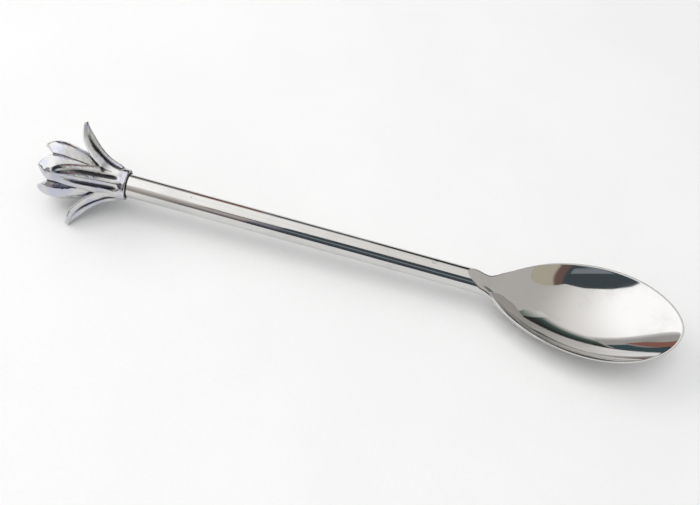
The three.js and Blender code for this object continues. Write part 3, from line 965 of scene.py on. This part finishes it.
class Finish:
    """Node tree of one finish, with the one method that adds nodes to it."""

    def __init__(self, tree):
        self.tree = tree
        self.tree.nodes.clear()

    def node(self, kind, settings=None, inputs=None, output=0):
        """Adds a node, with its settings and the values or links of its sockets."""
        made = self.tree.nodes.new(kind)
        for key, value in (settings or {}).items():
            setattr(made, key, value)
        for key, value in (inputs or {}).items():
            if isinstance(value, Value):
                self.tree.links.new(value.socket, made.inputs[key])
            else:
                made.inputs[key].default_value = value
        return Value(self, made.outputs[output]) if len(made.outputs) else None

    def place(self, stretch=1):
        """Place on the piece in millimetres, with lengths along the spoon scaled by a stretch."""
        where = self.node("ShaderNodeTexCoord", output="Object")
        scale = (1000 * stretch, 1000, 1000)
        return self.node("ShaderNodeVectorMath", {"operation": "MULTIPLY"}, {0: where, 1: scale})

    def mark(self):
        """Mark of the mesh's points."""
        return self.node("ShaderNodeAttribute", {"attribute_name": "shade"}, output="Fac")

    def noise(self, place, scale, detail=2.0, roughness=0.5):
        """Cloudy noise."""
        inputs = {"Vector": place, "Scale": scale, "Detail": detail, "Roughness": roughness}
        return self.node("ShaderNodeTexNoise", None, inputs)

    def between(self, value, low, high):
        """Soft step of a value between two bounds."""
        settings = {"interpolation_type": "SMOOTHSTEP"}
        inputs = {"Value": value, "From Min": low, "From Max": high}
        return self.node("ShaderNodeMapRange", settings, inputs)

    def blend(self, amount, first, second):
        """Mix of two colours."""
        settings = {"data_type": "RGBA"}
        return self.node("ShaderNodeMix", settings, {0: amount, 6: first, 7: second}, output=2)

    def surface(self, tint, roughness, height, strength, relief, metallic=0.0):
        """Surface with a fine relief."""
        bump = self.node("ShaderNodeBump", None, {
            "Strength": strength, "Distance": relief, "Height": height})
        return self.node("ShaderNodeBsdfPrincipled", None, {
            "Base Color": tint, "Metallic": metallic, "Roughness": roughness, "Normal": bump})

    def glowing(self, rgb, strength):
        """Surface that only glows."""
        return self.node("ShaderNodeBsdfPrincipled", None, {
            "Base Color": (0, 0, 0, 1), "Specular IOR Level": 0.0,
            "Emission Color": rgb, "Emission Strength": strength})

    def output(self, shader, kind="ShaderNodeOutputMaterial"):
        """Ends the tree in a shader."""
        self.node(kind, None, {"Surface": shader})


def made_once(name, build):
    """Material of a name that the frame doesn't use. A function builds its shader if the name is new."""
    material = bpy.data.materials.get(name)
    if material is None:
        material = bpy.data.materials.new(name)
        material.use_nodes = True
        finish = Finish(material.node_tree)
        finish.output(build(finish))
    return material


def opaque(rgb):
    """Colour with full cover."""
    return (rgb[0], rgb[1], rgb[2], 1)


def polished_steel(context):
    """Mirror polish with wiping marks, a few specks, and fine lines that are strongest on the bar."""
    choice = context.scene.teaspoon_finishes
    speck_size = 0.022

    def build(finish):
        even = finish.place()
        drawn = finish.mark()
        haze = finish.between(finish.noise(even, 0.13, detail=4, roughness=0.6), 0.46, 0.72)
        lines = finish.noise(finish.place(0.06), 7, detail=3, roughness=0.6)
        wave = finish.noise(finish.place(0.25), 0.22, detail=1)
        long_noise = finish.noise(finish.place(0.02), 2.4, detail=2, roughness=0.6)
        streaks = finish.between(long_noise, 0.42, 0.7) * drawn
        specks = finish.node("ShaderNodeTexVoronoi", None, {"Vector": even, "Scale": 0.11}) < speck_size
        hazy = finish.blend(haze, opaque(choice.steel), opaque(choice.steel_haze))
        streaked = finish.blend(streaks * 0.4, hazy, opaque(choice.steel_streak))
        tint = finish.blend(specks * 0.6, streaked, opaque(choice.steel_speck))
        rubbed = 0.05 * haze + 0.04 * finish.between(lines, 0.5, 0.8)
        roughness = choice.steel_roughness + rubbed + 0.3 * specks
        height = wave + (0.004 + 0.035 * drawn) * lines
        return finish.surface(tint, roughness, height, strength=0.5, relief=0.000015, metallic=1.0)

    return made_once("spoon_steel", build)


def plated_casting(context):
    """Bright plating over a slightly uneven casting, with patches of painted blue reflection and painted
    shade in its flutes, grooves and hollows.
    """
    choice = context.scene.teaspoon_finishes

    def build(finish):
        even = finish.place()
        uneven = finish.noise(even, 1.0)
        # Patches of painted blue reflection
        blue_reflection_share = finish.between(finish.noise(even, 0.35, detail=1), 0.45, 0.7)
        fine = finish.noise(even, 6, detail=3)
        # Painted shade in the flutes, grooves, hollows and the collar's gap, read from the points' marks
        crevice_shade = finish.between(finish.mark() + 0.5 * (fine - 0.5), 0.28, 0.72)
        clean = finish.blend(blue_reflection_share, opaque(choice.plating), opaque(choice.blue_reflection_tint))
        tint = finish.blend(crevice_shade * 0.95, clean, opaque(choice.painted_shade))
        roughness = choice.plating_roughness + 0.05 * finish.between(fine, 0.4, 0.8) + 0.06 * crevice_shade
        height = uneven + 0.05 * fine
        return finish.surface(tint, roughness, height, strength=0.5, relief=0.00016, metallic=1.0)

    return made_once("flower_plating", build)


def matt_table(context):
    """Pale matt table top with a faint grain."""
    choice = context.scene.teaspoon_stage
    shade = 0.97

    def build(finish):
        even = finish.place()
        cloud = finish.noise(even, 0.02, detail=3, roughness=0.6)
        grain = finish.noise(even, 1.2, detail=3, roughness=0.6)
        shaded = opaque([shade * c for c in choice.floor])
        clouded = finish.between(cloud + 0.5 * (grain - 0.5), 0.3, 0.7)
        tint = finish.blend(clouded, opaque(choice.floor), shaded)
        return finish.surface(tint, 0.65, grain, strength=0.15, relief=0.0001)

    return made_once("matt_table", build)


def studio_glow(context):
    """Reflected studio: grey on the bowl's side, paler above and white on the flower's side."""
    choice = context.scene.teaspoon_stage

    def build(finish):
        way = finish.node("ShaderNodeVectorMath", {"operation": "NORMALIZE"}, {0: finish.place()})
        along = finish.node("ShaderNodeSeparateXYZ", None, {0: way}, output="X")
        greyer = finish.between(along, -0.1, 0.6)
        whiter = finish.between(along, 0.05, -0.4)
        grey = finish.blend(greyer, opaque(choice.ceiling), opaque(choice.grey_side))
        return finish.glowing(finish.blend(whiter, grey, opaque(choice.bright_side)), choice.glow)

    return made_once("studio_glow", build)


def card_finish(name, stops):
    """Glow of a reflection card, through colours at shares of the way across it, each (share, colour)."""
    def build(finish):
        across = finish.mark()
        rgb = opaque(stops[0][1])
        for low, high in zip(stops, stops[1:]):
            rgb = finish.blend(finish.between(across, low[0], high[0]), rgb, opaque(high[1]))
        return finish.glowing(rgb, bpy.context.scene.teaspoon_stage.card_glow)

    return made_once(name, build)


# Stage

def soft_lamp(name, location, width, depth, watts, tint):
    """Large soft lamp, turned to the spoon, that the metal doesn't reflect."""
    lamp = bpy.data.lights.new(name, "AREA")
    lamp.shape = "RECTANGLE"
    lamp.size = width
    lamp.size_y = depth
    lamp.energy = watts
    lamp.color = tint
    thing = put_object(name, lamp)
    thing.location = location
    thing.rotation_euler = (-Vector(location)).to_track_quat("-Z", "Y").to_euler()
    thing.visible_glossy = False


def reflected(name, grid, material, mark=None):
    """Piece of the stage that shows only in reflections."""
    skin = Skin()
    skin.sheet(grid, mark)
    mesh = skin.mesh(name, Matrix())
    mesh.materials.append(material)
    card = put_object(name, mesh)
    card.visible_camera = False
    card.visible_diffuse = False
    card.visible_shadow = False


def bent_card(name, radius, turns, tops, stops, foot=0.0):
    """Upright card, bent round the spoon, whose top may slope, coloured from its foot to its top."""
    steps_round = 49
    steps_up = 13
    turn = np.linspace(math.radians(turns[0]), math.radians(turns[1]), steps_round)[:, None]
    top = np.linspace(tops[0], tops[1], steps_round)[:, None]
    share_up = np.linspace(0, 1, steps_up)
    rise = foot + (top - foot) * share_up
    grid = xyz(radius * np.cos(turn), radius * np.sin(turn), rise)
    reflected(name, grid, card_finish(name, stops), np.broadcast_to(share_up, rise.shape))


def flat_card(name, foot, top_edge, stops, forward=0.0):
    """Card in a leaning plane at the camera's place, below a top edge of (x, z), coloured along x."""
    plane_foot = -0.1794
    plane_lean = 0.323
    x = np.array([corner[0] for corner in top_edge])
    z = np.array([[foot] * len(top_edge), [corner[1] for corner in top_edge]])
    grid = xyz(x, forward + plane_foot + plane_lean * z, z)
    mark = (grid[..., 0] - x[0]) / (x[-1] - x[0])
    reflected(name, grid, card_finish(name, stops), mark)


def dome(name, radius, material):
    """Half ball over the whole stage."""
    turn = np.linspace(0, 2 * math.pi, 65)[:, None]
    lift = np.linspace(0, math.pi / 2, 25)
    flat = radius * np.cos(lift)
    reflected(name, xyz(flat * np.cos(turn), flat * np.sin(turn), radius * np.sin(lift)), material)


def near_cards(choice):
    """Cards at the camera's place and low behind it."""
    top_edge = [
        (-0.03, 0.19), (0.0, 0.21), (0.07, 0.21), (0.095, 0.198), (0.125, 0.184),
        (0.145, 0.2), (0.19, 0.218), (0.22, 0.208), (0.24, 0.19), (0.255, 0.12),
    ]
    flat_card("near_card", 0.03, top_edge, [
        (0.55, choice.near_card),
        (0.59, choice.near_card_warm),
        (0.65, choice.near_card_warm),
        (0.69, choice.near_card_end),
    ])
    strip_edge = [(-0.028, 0.112), (0.12, 0.112)]
    flat_card("near_strip", 0.084, strip_edge, [(0, choice.near_strip)], forward=0.002)
    bent_card("low_card", 0.45, (-100, -65), (0.6, 0.45), [
        (0.05, choice.low_card),
        (0.22, choice.low_card_plum),
        (0.42, choice.low_card_grey),
        (0.68, choice.low_card_grey),
        (0.84, choice.low_card_top),
    ])
    bent_card("plum_card", 0.455, (-107, -99), (0.5, 0.58), [
        (0.15, choice.plum_card),
        (0.4, choice.plum_card_grey),
        (0.7, choice.plum_card_grey),
        (0.88, choice.low_card_top),
    ])
    bent_card("beige_card", 0.46, (-118, -106), (0.62, 0.62), [
        (0.1, choice.beige_card),
        (1, choice.beige_card_top),
    ])
    bent_card("beige_side", 0.46, (-135, -118), (0.3, 0.3), [(0, choice.beige_card)])


def far_cards(choice):
    """Cards behind the spoon, and a dark one low round the flower's side."""
    bent_card("side_card", 0.62, (45, 55), (0.8, 0.75), [
        (0.3, choice.side_card),
        (1, choice.ceiling),
    ])
    bent_card("tall_card", 0.62, (55, 88), (0.75, 0.42), [
        (0.45, choice.dark_card),
        (0.64, choice.tall_card),
        (1, choice.ceiling),
    ])
    bent_card("teal_card", 0.6, (89, 97), (0.24, 0.26), [(0, choice.teal_card)])
    bent_card("red_card", 0.6, (98, 104.5), (0.3, 0.3), [
        (0.3, choice.dark_card),
        (0.42, choice.red_card),
    ])
    bent_card("shade_card", 0.61, (104, 128), (0.24, 0.24), [
        (0.75, choice.dark_card),
        (1, choice.grey_side),
    ])
    bent_card("halo_card", 0.64, (84, 124), (0.46, 0.5), [
        (0.28, choice.dark_card),
        (0.42, choice.grey_side),
        (0.8, choice.grey_side),
        (1, choice.ceiling),
    ])
    bent_card("horizon_card", 0.9, (112, 262), (0.12, 0.12), [(0, choice.dark_card)], foot=0.03)


def table_top(context):
    """Round table top, a hair below what lies on it."""
    gap = 0.00002
    rings = np.array([0.0, 0.05, 0.1, 0.2, 0.4, 0.8, 1.6])
    turn = np.linspace(0, 2 * math.pi, 96, endpoint=False)
    grid = np.array([xyz(r * np.cos(turn), r * np.sin(turn), -gap) for r in rings])
    skin = Skin()
    skin.sheet(grid, closed=True)
    mesh = skin.mesh("table_top", Matrix())
    mesh.materials.append(matt_table(context))
    put_object("table_top", mesh)


def photo_camera():
    """Camera at the photograph's place, rolled as the photograph is."""
    azimuth = math.radians(0.12)
    elevation = math.radians(51.504)
    roll = math.radians(14.825)
    target = Vector((-0.002632, -0.001651, 0.007587))
    distance = 0.185285
    back = Vector((
        math.sin(azimuth) * math.cos(elevation),
        -math.cos(azimuth) * math.cos(elevation),
        math.sin(elevation),
    ))
    level = Vector((math.cos(azimuth), math.sin(azimuth), 0))
    upright = back.cross(level)
    right = math.cos(roll) * level + math.sin(roll) * upright
    up = -math.sin(roll) * level + math.cos(roll) * upright
    camera = bpy.data.cameras.new("photo_camera")
    camera.sensor_fit = "HORIZONTAL"
    camera.sensor_width = 36
    camera.lens = 44.4636
    camera.clip_start = 0.005
    holder = put_object("photo_camera", camera)
    turn = Matrix((right, up, back)).transposed().to_4x4()
    holder.matrix_world = Matrix.Translation(target + back * distance) @ turn
    bpy.context.scene.camera = holder


def room_light(choice):
    """Soft light from all round."""
    world = bpy.data.worlds.new("soft_room")
    world.use_nodes = True
    bpy.context.scene.world = world
    finish = Finish(world.node_tree)
    glow = finish.node("ShaderNodeBackground", None, {
        "Color": opaque(choice.room), "Strength": choice.room_strength})
    finish.output(glow, "ShaderNodeOutputWorld")


class TEASPOON_OT_stage(bpy.types.Operator):
    """Make the table, the lamps, the reflection cards and the camera"""

    bl_idname = "teaspoon.stage"
    bl_label = "Stage"

    def execute(self, context):
        choice = context.scene.teaspoon_stage
        context.scene.view_settings.view_transform = "Standard"
        table_top(context)
        room_light(choice)
        soft_lamp("window_lamp", (-0.8, 0.1, 0.6), 0.7, 0.5, choice.window_power, (1.0, 0.99, 0.97))
        soft_lamp("ceiling_lamp", (-0.1, -0.2, 1.1), 0.9, 0.9, choice.ceiling_power, (1.0, 1.0, 1.0))
        dome("studio_dome", 1.5, studio_glow(context))
        near_cards(choice)
        far_cards(choice)
        photo_camera()
        return {"FINISHED"}


# Panel and registering

class TEASPOON_PT_pieces(bpy.types.Panel):
    """Lists the spoon's pieces and its stage"""

    bl_label = "Flower teaspoon"
    bl_idname = "TEASPOON_PT_pieces"
    bl_space_type = "VIEW_3D"
    bl_region_type = "UI"
    bl_category = "Teaspoon"

    def draw(self, context):
        for step in steps:
            self.layout.operator(step.bl_idname)


sizes_and_finishes = {
    "teaspoon_bowl": TeaspoonBowlSizes,
    "teaspoon_flower": TeaspoonFlowerSizes,
    "teaspoon_finishes": TeaspoonFinishes,
    "teaspoon_stage": TeaspoonStage,
}
steps = (
    TEASPOON_OT_stage,
    TEASPOON_OT_bowl,
    TEASPOON_OT_handle_rod,
    TEASPOON_OT_calyx,
    TEASPOON_OT_blossom,
)


def register():
    for name, group in sizes_and_finishes.items():
        bpy.utils.register_class(group)
        setattr(bpy.types.Scene, name, PointerProperty(type=group))
    for step in (*steps, TEASPOON_PT_pieces):
        bpy.utils.register_class(step)


def unregister():
    for step in reversed((*steps, TEASPOON_PT_pieces)):
        bpy.utils.unregister_class(step)
    for name, group in reversed(sizes_and_finishes.items()):
        delattr(bpy.types.Scene, name)
        bpy.utils.unregister_class(group)


def main():
    register()
    bpy.ops.teaspoon.stage()
    bpy.ops.teaspoon.bowl()
    bpy.ops.teaspoon.handle_rod()
    bpy.ops.teaspoon.calyx()
    bpy.ops.teaspoon.blossom()


if __name__ == "__main__":
    main()
